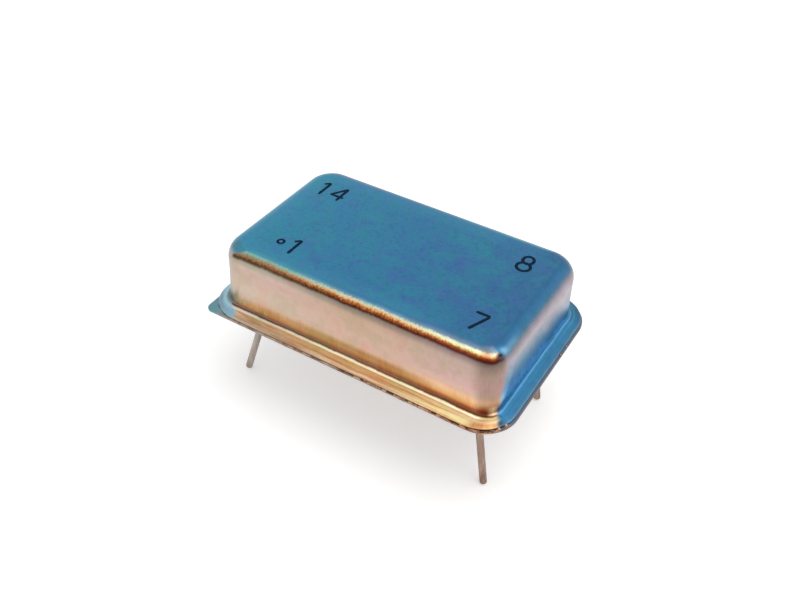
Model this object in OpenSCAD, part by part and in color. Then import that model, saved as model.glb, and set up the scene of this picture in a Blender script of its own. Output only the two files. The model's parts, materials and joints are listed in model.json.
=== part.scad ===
// Crystal oscillator in a full-size four-pin metal can.
//
// A drawn lid is resistance welded to a stamped header. Three pins pass through glass
// seals and the fourth is brazed to the header as the case ground. Inside, a ceramic
// circuit carries the quartz blank on two spring clips, the oscillator chip with its
// bond wires, and three chip capacitors.
//
// X runs along the can and Y across it. Z is up from the plane of the four pin tips.
// The origin is the middle of the pin pattern. Pin 1 is at the low X, low Y corner,
// and the numbers go round as on a fourteen-pin package: 1, 7, 8 and 14.

/* [Pins] */
// Spacing of the pins along the can
pin_pitch_l = 15.24; // [14.9:0.01:20.32]
// Spacing of the pins across the can
pin_pitch_w = 7.62; // [7.62:0.01:12.7]
// Diameter of a pin
pin_d = 0.46; // [0.38:0.01:0.6]
// Height of the header's underside over the pin tips
seat_h = 6.1; // [3.5:0.05:8]
// Where the tip of pin 1 stands from its hole, along X and Y
pin_1_lean = [-1.46, -0.62]; // [-2:0.01:2]
// Where the tip of pin 7 stands from its hole
pin_7_lean = [1.18, -0.8]; // [-2:0.01:2]
// Where the tip of pin 8 stands from its hole
pin_8_lean = [0.97, -0.26]; // [-2:0.01:2]
// Where the tip of pin 14 stands from its hole
pin_14_lean = [-0.7, 0.12]; // [-2:0.01:2]
// Straight drop of pin 1 under the header before it bends
pin_1_drop = 0.35; // [0.3:0.05:2]
// Straight drop of pin 7
pin_7_drop = 1.5; // [0.3:0.05:2]
// Straight drop of pin 8
pin_8_drop = 0.6; // [0.3:0.05:2]
// Straight drop of pin 14
pin_14_drop = 0.6; // [0.3:0.05:2]
// How far a pin stands up out of the ceramic circuit
pin_stub_h = 0.35; // [0.2:0.05:0.6]

/* [Lid] */
// Outside of the can's end wall past the pins' centres
can_past_pin_l = 1.93; // [1.8:0.01:3]
// Outside of the can's side wall past the pins' centres
can_past_pin_w = 1.95; // [1.8:0.01:3]
// Height of the can over its own flange
can_h = 4.11; // [4:0.01:6]
// Thickness of the lid's sheet
lid_t = 0.22; // [0.15:0.01:0.35]
// Upright corner radius of the can
can_corner_r = 1.9; // [1.5:0.05:2.4]
// Radius of the rim round the top
can_rim_r = 1.05; // [0.5:0.05:1.3]
// Radius of the foot where the wall turns into the flange
can_foot_r = 0.2; // [0.1:0.01:0.25]
// Width of the flanges past the can at its ends
flange_l = 0.69; // [0.65:0.01:0.9]
// Width of the flanges past the can at its sides
flange_w = 0.85; // [0.65:0.01:1]
// Corner radius of the flanges
flange_corner_r = 2.23; // [1.8:0.01:2.6]
// How far off the middle of its flange the can was drawn, along X and Y
can_shift = [-0.13, 0.1]; // [-0.15:0.01:0.15]
// How far off the middle of the header the lid was welded, along X and Y
lid_shift = [-0.13, 0.03]; // [-0.15:0.01:0.15]

/* [Header] */
// Thickness of the header's flange
header_t = 0.25; // [0.2:0.01:0.4]
// Radius of the sharper corner that marks pin 1
mark_corner_r = 0.4; // [0.2:0.05:1]
// Height of the platform that stands up inside the lid
platform_h = 0.9; // [0.6:0.05:1]
// Gap between the platform and the nearest wall of the lid
platform_gap = 0.14; // [0.1:0.01:0.3]
// Corner radius of the platform
platform_corner_r = 1.3; // [0.8:0.1:1.6]
// Height of the weld ridge that holds the two flanges apart
weld_h = 0.03; // [0.02:0.01:0.06]
// Width of the weld ridge
weld_w = 0.18; // [0.1:0.01:0.25]

/* [Seals] */
// Diameter of a glass seal
glass_d = 1.8; // [1.4:0.1:2]
// Diameter of the brazed hole of pin 7
braze_d = 0.94; // [0.9:0.02:1.2]
// Height of the small cone that the glass or the braze makes round a pin
cone_h = 0.12; // [0.05:0.01:0.25]
// Width of that cone on its widest face, beyond the pin
cone_w = 0.2; // [0.1:0.01:0.22]

/* [Ceramic circuit] */
// Outside diameter of the ceramic washers under the circuit
washer_d = 1.6; // [1.2:0.1:2]
// Thickness of the washers
washer_t = 0.4; // [0.3:0.05:0.6]
// Thickness of the ceramic
substrate_t = 0.635; // [0.5:0.005:0.8]
// Ceramic past the pins' centres at the ends
substrate_past_pin_l = 0.7; // [0.6:0.05:0.9]
// Ceramic past the pins' centres at the sides
substrate_past_pin_w = 0.95; // [0.7:0.05:1.1]
// Diameter of the pin holes in the ceramic
substrate_hole_d = 0.8; // [0.76:0.02:0.9]
// Thickness of the printed conductors and resistor
film_t = 0.03; // [0.02:0.01:0.05]
// Width of a printed conductor
track_w = 0.3; // [0.2:0.05:0.4]
// Bare ceramic between its long edges and the printed supply and control lines
bus_inset = 0.35; // [0.3:0.05:0.5]
// How far a printed pad shows round what stands on it
pad_margin = 0.1; // [0.05:0.01:0.15]
// Width of the printed resistor
resistor_w = 0.5; // [0.3:0.05:0.6]
// Diameter of the solder on a pin
solder_d = 1.2; // [1.1:0.05:1.3]
// Height of the solder on a pin
solder_h = 0.25; // [0.15:0.05:0.3]

/* [Crystal] */
// Diameter of the quartz blank
blank_d = 8; // [6:0.1:8.2]
// Thickness of the quartz blank
blank_t = 0.104; // [0.08:0.001:0.2]
// Height of the blank over the printed conductors
blank_lift = 0.95; // [0.7:0.05:1]
// Room between the end of the ceramic and the blank
blank_inset = 1; // [0.9:0.05:1.4]
// Diameter of the electrodes
electrode_d = 4.2; // [3:0.1:5]
// Width of the tab from an electrode to the blank's edge
electrode_tab_w = 1; // [0.6:0.1:1.2]
// Thickness of the electrodes
electrode_t = 0.01; // [0.005:0.005:0.02]
// Thickness of the clips' strip
clip_t = 0.12; // [0.1:0.01:0.18]
// Width of the clips' strip
clip_w = 1; // [0.8:0.1:1.2]
// Length of a clip's foot
clip_foot = 0.55; // [0.4:0.05:0.6]
// How far a clip's shelf reaches under the blank
clip_grip = 0.4; // [0.3:0.05:0.6]
// Diameter of the drops of cement that hold the blank
cement_d = 0.7; // [0.5:0.05:0.75]
// Height of the drops of cement
cement_h = 0.18; // [0.1:0.01:0.25]

/* [Chip] */
// Length of the oscillator chip
chip_l = 1.5; // [1:0.1:1.8]
// Width of the oscillator chip
chip_w = 1.3; // [1:0.1:1.5]
// Thickness of the oscillator chip
chip_t = 0.3; // [0.2:0.05:0.4]
// Thickness of the adhesive under the chip
adhesive_t = 0.03; // [0.02:0.01:0.05]
// Distance from the end of the ceramic to the middle of the chip
chip_from_end = 4.9; // [4.6:0.1:5.2]
// Diameter of a bond wire
wire_d = 0.04; // [0.03:0.01:0.06]
// Height of a wire's loop over the chip
wire_rise = 0.2; // [0.1:0.05:0.3]
// Reach of a wire from the chip's edge to its pad
wire_reach = 0.8; // [0.6:0.05:0.9]
// How far inside the chip's edge a wire starts
wire_inset = 0.12; // [0.08:0.01:0.2]

/* [Capacitors] */
// Length, width and height of the bypass capacitor
bypass_size = [2, 1.25, 0.8]; // [0.5:0.05:2.2]
// Length, width and height of a load capacitor
load_size = [1.6, 0.8, 0.7]; // [0.5:0.05:1.8]
// Bare ceramic between its end and the bypass capacitor
bypass_inset = 1.1; // [1:0.05:1.3]
// Bare ceramic between its long edges and the load capacitors
load_inset = 0.85; // [0.8:0.05:1]
// Length of the metal on each end of a capacitor
cap_end = 0.35; // [0.2:0.05:0.4]

/* [Hidden] */
$fn = 96;

// How far a cutter runs past the face that it opens
past = 0.5;
// How far the metal swells at a pin's bend
bend_swell = 0.005;
// How far the thin end of a glass, braze or solder cone stands off its pin
cone_tip = 0.02;
// Clearance between those cones and the washers
washer_gap = 0.03;
// Width of a cement drop's top against its base
cement_taper = 0.6;
pin_r = pin_d / 2;

// Pin places
x_pin = pin_pitch_l / 2;
y_pin = pin_pitch_w / 2;
PIN_1 = [-x_pin, -y_pin];
PIN_7 = [x_pin, -y_pin];
PIN_8 = [x_pin, y_pin];
PIN_14 = [-x_pin, y_pin];

// Heights of the stack, from the pin tips up
z_header_flange = seat_h + header_t;
z_lid = z_header_flange + weld_h;
z_platform = z_header_flange + platform_h;
z_ceramic = z_platform + washer_t;
z_circuit = z_ceramic + substrate_t;
z_film = z_circuit + film_t;
z_pin_top = z_circuit + pin_stub_h;
z_blank = z_film + blank_lift;
z_blank_top = z_blank + blank_t;

// Lid and header outlines
can_l = pin_pitch_l + 2 * can_past_pin_l;
can_w = pin_pitch_w + 2 * can_past_pin_w;
cavity_l = can_l - 2 * lid_t;
cavity_w = can_w - 2 * lid_t;
outer_l = can_l + 2 * flange_l;
outer_w = can_w + 2 * flange_w;
can_place = lid_shift + can_shift;
platform_l = cavity_l - 2 * (abs(can_place.x) + platform_gap);
platform_w = cavity_w - 2 * (abs(can_place.y) + platform_gap);
// The weld runs midway between the can's wall and the flange's edge, where those come closest
weld_l = (cavity_l + outer_l) / 2 + abs(can_place.x) - abs(lid_shift.x);
weld_across = (cavity_w + outer_w) / 2 + abs(can_place.y) - abs(lid_shift.y);

// Ceramic circuit, with the crystal kept to its left end and the chip to its right end
substrate_l = pin_pitch_l + 2 * substrate_past_pin_l;
substrate_w = pin_pitch_w + 2 * substrate_past_pin_w;
x_end = substrate_l / 2;
y_edge = substrate_w / 2;
x_blank = -x_end + blank_inset + blank_d / 2;
x_chip = x_end - chip_from_end;
z_chip = z_film + adhesive_t;
z_chip_top = z_chip + chip_t;
// Sides of the chip that wires leave: direction, distance from the middle, places along it
WIRE_SIDES = [[0, chip_w / 2, [-1, 0, 1] * (chip_l / 3)],
    [180, chip_w / 2, [-1, 0, 1] * (chip_l / 3)],
    [-90, chip_l / 2, [0]]];
// Width and length of a wire's pad
wire_pad = [0.34, 0.4];
y_wire_pad = chip_w / 2 + wire_reach;
x_outer_wire = x_chip + chip_l / 3;
x_bypass = x_end - bypass_inset - bypass_size.y / 2;
y_bypass_pad = (bypass_size.x - cap_end) / 2;
x_load_pad = (load_size.x - cap_end) / 2;
y_load = y_edge - load_inset - load_size.y / 2;
chip_pad = [chip_l, chip_w] + 2 * [pad_margin, pad_margin];

// Clips, centred on their feet
clip_pad = [clip_foot, clip_w] + 2 * [pad_margin, pad_margin];
clip_offset = blank_d / 2 + clip_t - clip_foot / 2;
CLIP_LEFT = [x_blank - clip_offset, 0];
CLIP_RIGHT = [x_blank + clip_offset, 0];
// The crystal's second line runs midway between the right clip's pad and the chip's
x_crystal_line = (CLIP_RIGHT.x + clip_pad.x / 2 + x_chip - chip_pad.x / 2) / 2;

// A drawn rectangle whose corners are true arcs; the first radius is the low X, low Y corner
module plate_outline(l, w, r, first_r) {
    radii = [first_r, r, r, r];
    difference() {
        square([l, w], center = true);
        for (k = [0:3])
            let (sx = (k == 0 || k == 3) ? -1 : 1, sy = k < 2 ? -1 : 1, rk = radii[k])
                translate([sx * (l / 2 - rk), sy * (w / 2 - rk)])
                    mirror([sx < 0 ? 1 : 0, 0]) mirror([0, sy < 0 ? 1 : 0])
                        difference() {
                            square(rk + past);
                            circle(rk);
                        }
    }
}

// Half section of a block with a rounded top edge, from its inside line out to x = reach
module rim_section(reach, h, rim) {
    difference() {
        square([reach, h]);
        translate([reach - rim, h - rim])
            difference() {
                square(rim + past);
                circle(rim);
            }
    }
}

// Half section of the small fillet between an upright wall at x = reach and a flange
module foot_section(reach, r) {
    translate([reach, 0])
        difference() {
            square(r);
            translate([r, r]) circle(r);
        }
}

// Carries a half section round a rectangle: turned at the corners and straight between them
module round_outline(l, w, corner) {
    dx = l / 2 - corner;
    dy = w / 2 - corner;
    for (k = [0:3])
        let (sx = (k == 0 || k == 3) ? 1 : -1, sy = k < 2 ? 1 : -1)
            translate([sx * dx, sy * dy, 0])
                rotate([0, 0, 90 * k])
                    rotate_extrude(angle = 90) children();
    for (side = [0, 180]) {
        rotate([0, 0, side]) translate([dx, dy, 0])
            rotate([90, 0, 0]) linear_extrude(2 * dy) children();
        rotate([0, 0, side]) translate([-dx, dy, 0])
            rotate([90, 0, 90]) linear_extrude(2 * dx) children();
    }
}

// A block with upright corners of one radius and a top rim of another
module can_block(l, w, h, corner, rim) {
    round_outline(l, w, corner) rim_section(corner, h, rim);
    translate([corner - l / 2, corner - w / 2, 0])
        cube([l - 2 * corner, w - 2 * corner, h]);
}

module lid() {
    color("#5a94ad")
        translate([lid_shift.x, lid_shift.y, z_lid])
            difference() {
                union() {
                    linear_extrude(lid_t)
                        plate_outline(outer_l, outer_w, flange_corner_r, flange_corner_r);
                    translate(can_shift) {
                        can_block(can_l, can_w, lid_t + can_h, can_corner_r, can_rim_r);
                        translate([0, 0, lid_t])
                            round_outline(can_l, can_w, can_corner_r)
                                foot_section(can_corner_r, can_foot_r);
                    }
                }
                translate([can_shift.x, can_shift.y, -past])
                    can_block(cavity_l, cavity_w, can_h + past,
                        can_corner_r - lid_t, can_rim_r - lid_t);
            }
}

// Hole of a seal or of the braze, right through the header
module header_hole(place, d) {
    translate([place.x, place.y, seat_h - past])
        cylinder(d = d, h = header_t + platform_h + 2 * past);
}

module header() {
    color("#c4a98c")
        difference() {
            union() {
                translate([0, 0, seat_h]) linear_extrude(header_t)
                    plate_outline(outer_l, outer_w, flange_corner_r, mark_corner_r);
                translate([0, 0, z_header_flange]) linear_extrude(platform_h)
                    plate_outline(platform_l, platform_w, platform_corner_r, platform_corner_r);
                translate([0, 0, z_header_flange]) linear_extrude(weld_h)
                    difference() {
                        plate_outline(weld_l + weld_w, weld_across + weld_w,
                            can_corner_r + weld_w, can_corner_r + weld_w);
                        plate_outline(weld_l - weld_w, weld_across - weld_w,
                            can_corner_r, can_corner_r);
                    }
            }
            for (place = [PIN_1, PIN_8, PIN_14]) header_hole(place, glass_d);
            header_hole(PIN_7, braze_d);
        }
}

// Fills a header hole round a pin, flush on both faces, with a small cone up and down the pin
module hole_filling(place, d) {
    thin_r = pin_r + cone_tip;
    translate([place.x, place.y, 0])
        difference() {
            union() {
                translate([0, 0, seat_h]) cylinder(d = d, h = z_platform - seat_h);
                translate([0, 0, seat_h - cone_h])
                    cylinder(r1 = thin_r, r2 = pin_r + cone_w, h = cone_h);
                translate([0, 0, z_platform])
                    cylinder(r1 = pin_r + cone_w, r2 = thin_r, h = cone_h);
            }
            translate([0, 0, seat_h - cone_h - past])
                cylinder(r = pin_r, h = z_platform - seat_h + 2 * (cone_h + past));
        }
}

module glass_seal(place) {
    color("#3f545c") hole_filling(place, glass_d);
}

module ground_braze() {
    color("#c9b27c") hole_filling(PIN_7, braze_d);
}

// A round wire pin: straight down through the header to a bend, and then a straight leg
// that leans until its round tip stands at lean from the hole
module pin(place, lean, drop) {
    fall = seat_h - drop - pin_r;
    angle = atan2(norm(lean), fall);
    leg = fall / cos(angle);
    color("#afaca4")
        translate([place.x, place.y, seat_h - drop]) rotate([0, 0, atan2(lean.y, lean.x)]) {
            cylinder(r = pin_r, h = z_pin_top - seat_h + drop);
            sphere(pin_r + bend_swell);
            rotate([0, 180 - angle, 0]) {
                cylinder(r = pin_r, h = leg);
                translate([0, 0, leg]) sphere(pin_r);
            }
        }
}

// Ceramic washer that holds the circuit off the header
module spacer_washer(place) {
    clear_d = pin_d + 2 * (cone_w + washer_gap);
    color("#e9e4d8")
        translate([place.x, place.y, z_platform])
            difference() {
                cylinder(d = washer_d, h = washer_t);
                translate([0, 0, -past]) cylinder(d = clear_d, h = washer_t + 2 * past);
            }
}

// The same four holes in the ceramic and in what is printed on it
module pin_holes(z, h) {
    for (place = [PIN_1, PIN_7, PIN_8, PIN_14])
        translate([place.x, place.y, z - past])
            cylinder(d = substrate_hole_d, h = h + 2 * past);
}

module ceramic_substrate() {
    color("#efeadd")
        difference() {
            translate([-x_end, -y_edge, z_ceramic])
                cube([substrate_l, substrate_w, substrate_t]);
            pin_holes(z_ceramic, substrate_t);
        }
}

// A straight printed conductor between two places on one line along X or Y
module track(a, b) {
    low = [min(a.x, b.x), min(a.y, b.y)];
    size = [abs(b.x - a.x), abs(b.y - a.y)];
    translate(low - [track_w, track_w] / 2) square(size + [track_w, track_w]);
}

// A rectangular printed pad
module pad(place, size) {
    translate(place) square(size, center = true);
}

// Stands its children at a wire's start on the chip's edge, with +Y pointing away from it
module at_wires() {
    for (side = WIRE_SIDES, along = side[2])
        translate([x_chip, 0, 0]) rotate([0, 0, side[0]])
            translate([along, side[1], 0]) children();
}

// Bare printed shapes, before the pin holes are cut
module conductor_plan() {
    y_bus = y_edge - bus_inset;
    for (place = [PIN_1, PIN_7, PIN_8, PIN_14])
        translate(place) circle(d = solder_d + 2 * pad_margin);
    pad(CLIP_LEFT, clip_pad);
    pad(CLIP_RIGHT, clip_pad);
    pad([x_chip, 0], chip_pad);
    at_wires() pad([0, wire_reach], wire_pad);
    for (sy = [-1, 1]) {
        pad([x_bypass, sy * y_bypass_pad], [bypass_size.y, cap_end + pad_margin]);
        for (sx = [-1, 1])
            pad([x_chip + sx * x_load_pad, sy * y_load], [cap_end + pad_margin, load_size.y]);
        // load capacitors to the crystal's two lines
        track([x_chip - x_load_pad, sy * y_load], [x_chip - x_load_pad, sy * y_wire_pad]);
    }
    // supply: pin 14, the chip, and on to the bypass capacitor
    track(PIN_14, [-x_pin, y_bus]);
    track([-x_pin, y_bus], [x_chip, y_bus]);
    track([x_chip, y_bus], [x_chip, y_wire_pad]);
    track([x_outer_wire, y_wire_pad], [x_bypass, y_wire_pad]);
    track([x_bypass, y_wire_pad], [x_bypass, y_bypass_pad]);
    // ground: pin 7, the chip and the bypass capacitor
    track(PIN_7, [x_pin, -y_wire_pad]);
    track([x_pin, -y_wire_pad], [x_outer_wire, -y_wire_pad]);
    track([x_bypass, -y_wire_pad], [x_bypass, -y_bypass_pad]);
    // output: pin 8, and under the bypass capacitor's ceramic to the end of the chip
    track(PIN_8, [x_pin, 0]);
    track([x_pin, 0], [x_chip + chip_l / 2 + wire_reach, 0]);
    // control: pin 1 to the chip
    track(PIN_1, [-x_pin, -y_bus]);
    track([-x_pin, -y_bus], [x_chip, -y_bus]);
    track([x_chip, -y_bus], [x_chip, -y_wire_pad]);
    // crystal: each clip to the chip
    track(CLIP_LEFT, [CLIP_LEFT.x, -y_wire_pad]);
    track([CLIP_LEFT.x, -y_wire_pad], [x_chip - chip_l / 3, -y_wire_pad]);
    track(CLIP_RIGHT, [x_crystal_line, 0]);
    track([x_crystal_line, 0], [x_crystal_line, y_wire_pad]);
    track([x_crystal_line, y_wire_pad], [x_chip - chip_l / 3, y_wire_pad]);
}

module printed_conductors() {
    color("#cfc6ae")
        difference() {
            translate([0, 0, z_circuit]) linear_extrude(film_t) conductor_plan();
            pin_holes(z_circuit, film_t);
        }
}

// Resistor film that bridges the crystal's two lines
module printed_resistor() {
    color("#2e2c2a")
        translate([x_crystal_line - resistor_w / 2, track_w / 2 - y_wire_pad, z_circuit])
            cube([resistor_w, y_wire_pad - track_w, film_t]);
}

// Solder in a ceramic hole and coned up a pin
module pin_solder(place) {
    color("#b8bbbd")
        translate([place.x, place.y, 0])
            difference() {
                union() {
                    translate([0, 0, z_ceramic])
                        cylinder(d = substrate_hole_d, h = z_film - z_ceramic);
                    translate([0, 0, z_film])
                        cylinder(d1 = solder_d, r2 = pin_r + cone_tip, h = solder_h);
                }
                translate([0, 0, z_ceramic - past]) cylinder(r = pin_r, h = substrate_t + 2 * past);
            }
}

module quartz_blank() {
    color("#d5e3e6") translate([x_blank, 0, z_blank]) cylinder(d = blank_d, h = blank_t);
}

// Metal film on one face of the blank, with a tab that runs to the clip on side sx
module electrode(z, sx) {
    tab = blank_d / 2;
    color("#d8d3c6")
        translate([x_blank, 0, z])
            linear_extrude(electrode_t)
                intersection() {
                    circle(d = blank_d);
                    union() {
                        circle(d = electrode_d);
                        translate([sx > 0 ? 0 : -tab, -electrode_tab_w / 2])
                            square([tab, electrode_tab_w]);
                    }
                }
}

// Spring clip bent from strip: a foot, an upright outside the blank, and a shelf under it
module crystal_clip(sx) {
    x_up = blank_d / 2;
    shelf = z_blank - (sx < 0 ? electrode_t : 0);
    color("#b5ad97")
        translate([x_blank, -clip_w / 2, 0]) mirror([sx < 0 ? 1 : 0, 0, 0]) {
            translate([x_up, 0, z_film]) cube([clip_t, clip_w, z_blank_top + cement_h - z_film]);
            translate([x_up + clip_t - clip_foot, 0, z_film]) cube([clip_foot, clip_w, clip_t]);
            translate([x_up - clip_grip, 0, shelf - clip_t])
                cube([clip_grip + clip_t, clip_w, clip_t]);
        }
}

// Drop of conductive cement on the blank against a clip's upright
module crystal_cement(sx) {
    base = z_blank_top + (sx > 0 ? electrode_t : 0);
    color("#c9c9c4")
        translate([x_blank + sx * (blank_d - cement_d) / 2, 0, base])
            cylinder(d1 = cement_d, d2 = cement_d * cement_taper, h = cement_h);
}

module oscillator_chip() {
    color("#4a4f57")
        translate([x_chip - chip_l / 2, -chip_w / 2, z_chip]) cube([chip_l, chip_w, chip_t]);
}

module chip_adhesive() {
    color("#b9b6ae")
        translate([x_chip - chip_l / 2, -chip_w / 2, z_film])
            cube([chip_l, chip_w, adhesive_t]);
}

// One gold wire: up from the chip just inside its edge, level, and down to its pad
module bond_wire() {
    wire_r = wire_d / 2;
    z_level = z_chip_top + wire_rise;
    translate([0, -wire_inset, z_chip_top]) cylinder(r = wire_r, h = wire_rise);
    translate([0, wire_reach, z_film]) cylinder(r = wire_r, h = z_level - z_film);
    for (y = [-wire_inset, wire_reach]) translate([0, y, z_level]) sphere(wire_r);
    translate([0, -wire_inset, z_level]) rotate([-90, 0, 0])
        cylinder(r = wire_r, h = wire_inset + wire_reach);
}

module bond_wires() {
    color("#d9b65a") at_wires() bond_wire($fn = 24);
}

// Ceramic body of a chip capacitor, standing on z = 0 with its length along X
module cap_body(size) {
    color("#b08d6a")
        translate([cap_end - size.x / 2, -size.y / 2, 0])
            cube([size.x - 2 * cap_end, size.y, size.z]);
}

// The two plated ends of the same capacitor
module cap_ends(size) {
    color("#c3c3bf")
        for (sx = [-1, 1])
            translate([sx * (size.x - cap_end) / 2, 0, size.z / 2])
                cube([cap_end, size.y, size.z], center = true);
}

module at_bypass() {
    translate([x_bypass, 0, z_film]) rotate([0, 0, 90]) children();
}

module at_load(sy) {
    translate([x_chip, sy * y_load, z_film]) children();
}

lid();
header();
glass_seal(PIN_1);  // glass_seal_1
glass_seal(PIN_8);  // glass_seal_8
glass_seal(PIN_14);  // glass_seal_14
ground_braze();
pin(PIN_1, pin_1_lean, pin_1_drop);  // pin_1
pin(PIN_7, pin_7_lean, pin_7_drop);  // pin_7
pin(PIN_8, pin_8_lean, pin_8_drop);  // pin_8
pin(PIN_14, pin_14_lean, pin_14_drop);  // pin_14
spacer_washer(PIN_1);  // spacer_washer_1
spacer_washer(PIN_7);  // spacer_washer_7
spacer_washer(PIN_8);  // spacer_washer_8
spacer_washer(PIN_14);  // spacer_washer_14
ceramic_substrate();
printed_conductors();
printed_resistor();
pin_solder(PIN_1);  // pin_solder_1
pin_solder(PIN_7);  // pin_solder_7
pin_solder(PIN_8);  // pin_solder_8
pin_solder(PIN_14);  // pin_solder_14
quartz_blank();
electrode(z_blank_top, 1);  // upper_electrode
electrode(z_blank - electrode_t, -1);  // lower_electrode
crystal_clip(-1);  // crystal_clip_left
crystal_clip(1);  // crystal_clip_right
crystal_cement(-1);  // crystal_cement_left
crystal_cement(1);  // crystal_cement_right
oscillator_chip();
chip_adhesive();
bond_wires();
at_bypass() cap_body(bypass_size);  // bypass_capacitor
at_bypass() cap_ends(bypass_size);  // bypass_capacitor_ends
at_load(-1) cap_body(load_size);  // load_capacitor_1
at_load(-1) cap_ends(load_size);  // load_capacitor_1_ends
at_load(1) cap_body(load_size);  // load_capacitor_2
at_load(1) cap_ends(load_size);  // load_capacitor_2_ends
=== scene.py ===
import json
import math
from functools import partial

import bmesh
import bpy
import numpy as np
from mathutils import Matrix, Vector
from mathutils.geometry import delaunay_2d_cdt


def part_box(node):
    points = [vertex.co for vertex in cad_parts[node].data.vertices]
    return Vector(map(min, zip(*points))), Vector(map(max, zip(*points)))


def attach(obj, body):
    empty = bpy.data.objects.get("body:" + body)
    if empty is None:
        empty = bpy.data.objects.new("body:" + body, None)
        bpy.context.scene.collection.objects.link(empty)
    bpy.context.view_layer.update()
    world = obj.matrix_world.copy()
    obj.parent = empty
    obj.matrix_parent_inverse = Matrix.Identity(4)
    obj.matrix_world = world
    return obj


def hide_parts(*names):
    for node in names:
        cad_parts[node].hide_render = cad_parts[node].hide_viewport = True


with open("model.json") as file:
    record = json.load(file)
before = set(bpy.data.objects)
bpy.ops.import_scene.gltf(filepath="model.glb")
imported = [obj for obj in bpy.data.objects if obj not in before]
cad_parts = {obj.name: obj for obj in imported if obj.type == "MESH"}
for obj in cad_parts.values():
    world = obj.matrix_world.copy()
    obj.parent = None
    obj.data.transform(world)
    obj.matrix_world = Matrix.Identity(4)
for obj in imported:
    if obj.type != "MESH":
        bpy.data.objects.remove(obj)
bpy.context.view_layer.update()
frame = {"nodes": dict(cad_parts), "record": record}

# Looks of a metal-can crystal oscillator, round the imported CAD. Lengths are in millimetres
# until a mesh is made, where MM turns them to metres.
MM = 0.001
BODY = "root"
scene = bpy.context.scene


# ------------ sizes taken from the CAD
def corners(node):
    """Lowest and highest corner of a CAD node, in millimetres."""
    low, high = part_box(node)
    return np.array(low) / MM, np.array(high) / MM


def plan_above(node, height):
    """Middle and size in the plan of the points of a CAD node that lie above a height."""
    points = np.array([vertex.co for vertex in frame["nodes"][node].data.vertices]) / MM
    above = points[points[:, 2] > height, :2]
    return (above.min(0) + above.max(0)) / 2, above.max(0) - above.min(0)


LID_LOW, LID_HIGH = corners("lid")
HEADER_LOW, HEADER_HIGH = corners("header")
CAN_MIDDLE, CAN_SIZE = plan_above("lid", (LID_LOW[2] + LID_HIGH[2]) / 2)
LID_MIDDLE, LID_SIZE = plan_above("lid", -math.inf)
PLATFORM_MIDDLE, PLATFORM_SIZE = plan_above("header", HEADER_HIGH[2] - 0.01)
HEADER_SIZE = (HEADER_HIGH - HEADER_LOW)[:2]
LID_SHEET, HEADER_SHEET, PIN_RADIUS = 0.22, 0.25, 0.23
CAN_CORNER, CAN_RIM = 1.9, 1.05
# At the foot the corners are tighter: front left, front right, back right, back left
FOOT_CORNERS = np.array([1.55, 1.25, 1.5, 1.5])
# The header's corner at pin 1 is nearly sharp
FLANGE_CORNER, MARK_CORNER, PLATFORM_CORNER = 2.23, 0.4, 1.3
HEADER_CORNERS = np.array([MARK_CORNER] + [FLANGE_CORNER] * 3)
# Each pin's number and the radius of its hole
HOLES = {"1": 0.9, "7": 0.47, "8": 0.9, "14": 0.9}
Z_FLANGE = LID_LOW[2] + LID_SHEET
Z_SEAT = HEADER_LOW[2]
Z_HEADER = Z_SEAT + HEADER_SHEET
Z_PLATFORM = HEADER_HIGH[2]
INK_ROOM = 0.015
Z_TOP = LID_HIGH[2] - INK_ROOM


# ------------ meshes
MERGED_WITHIN = 1e-7


def make_piece(name, points, faces, slot=None, stands_for=(), fields=None, finish=None):
    """A piece from points in millimetres and faces, riding on the body, in its slot's finish
    or its own. Points that fall together are merged, so seams and poles are closed, and
    faces are turned outwards."""
    mesh = bpy.data.meshes.new(name)
    mesh.from_pydata((np.asarray(points) * MM).tolist(), [], faces)
    for field, values in (fields or {}).items():
        layer = mesh.attributes.new(field, "FLOAT", "POINT")
        layer.data.foreach_set("value", np.asarray(values, np.float32).ravel())
    built = bmesh.new()
    built.from_mesh(mesh)
    bmesh.ops.remove_doubles(built, verts=built.verts, dist=MERGED_WITHIN)
    bmesh.ops.recalc_face_normals(built, faces=built.faces)
    built.to_mesh(mesh)
    built.free()
    mesh.shade_smooth()
    mesh.materials.append(finish or FINISHES[slot])
    piece = bpy.data.objects.new(name, mesh)
    scene.collection.objects.link(piece)
    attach(piece, BODY)
    if stands_for:
        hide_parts(*stands_for)


def grid_faces(rows, columns, first=0):
    """Four-sided faces of a grid of points whose rows close on themselves."""
    r, c = np.meshgrid(np.arange(rows - 1), np.arange(columns), indexing="ij")
    here, beside = r * columns + c, r * columns + (c + 1) % columns
    faces = np.stack([here, beside, beside + columns, here + columns], -1) + first
    return faces.reshape(-1, 4).tolist()


def ring(outline, height):
    """An outline's points lifted to a height."""
    return np.column_stack([outline, np.full(len(outline), height)])


def quarter(count):
    """Steps of a quarter round: the angle a, and its shares of the radius, 1 - sin a, which
    is left to go outwards, and 1 - cos a, which has gone down."""
    a = np.linspace(0, math.pi / 2, count)
    return np.column_stack([a, 1 - np.sin(a), 1 - np.cos(a)])


def full_turn(count):
    """Angles of a full circle, without the last, which is the first again."""
    return np.linspace(0, math.tau, count, endpoint=False)


def spokes(angles):
    """Unit steps in the plan at these angles: (cos, sin)."""
    return np.column_stack([np.cos(angles), np.sin(angles)])


def ease(x, low, high):
    """0 below low, 1 above high, and the curve 3t^2 - 2t^3 between them."""
    t = np.clip((x - low) / (high - low), 0, 1)
    return t * t * (3 - 2 * t)


def hill(x, start, top, edge, end):
    """Eases up from 0 at start to 1 at top, and down again from edge to end."""
    return ease(x, start, top) * (1 - ease(x, edge, end))


SIDE_STEPS, END_STEPS, ARC_STEPS = 150, 90, 24
SHARPEST = 0.03


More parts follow.
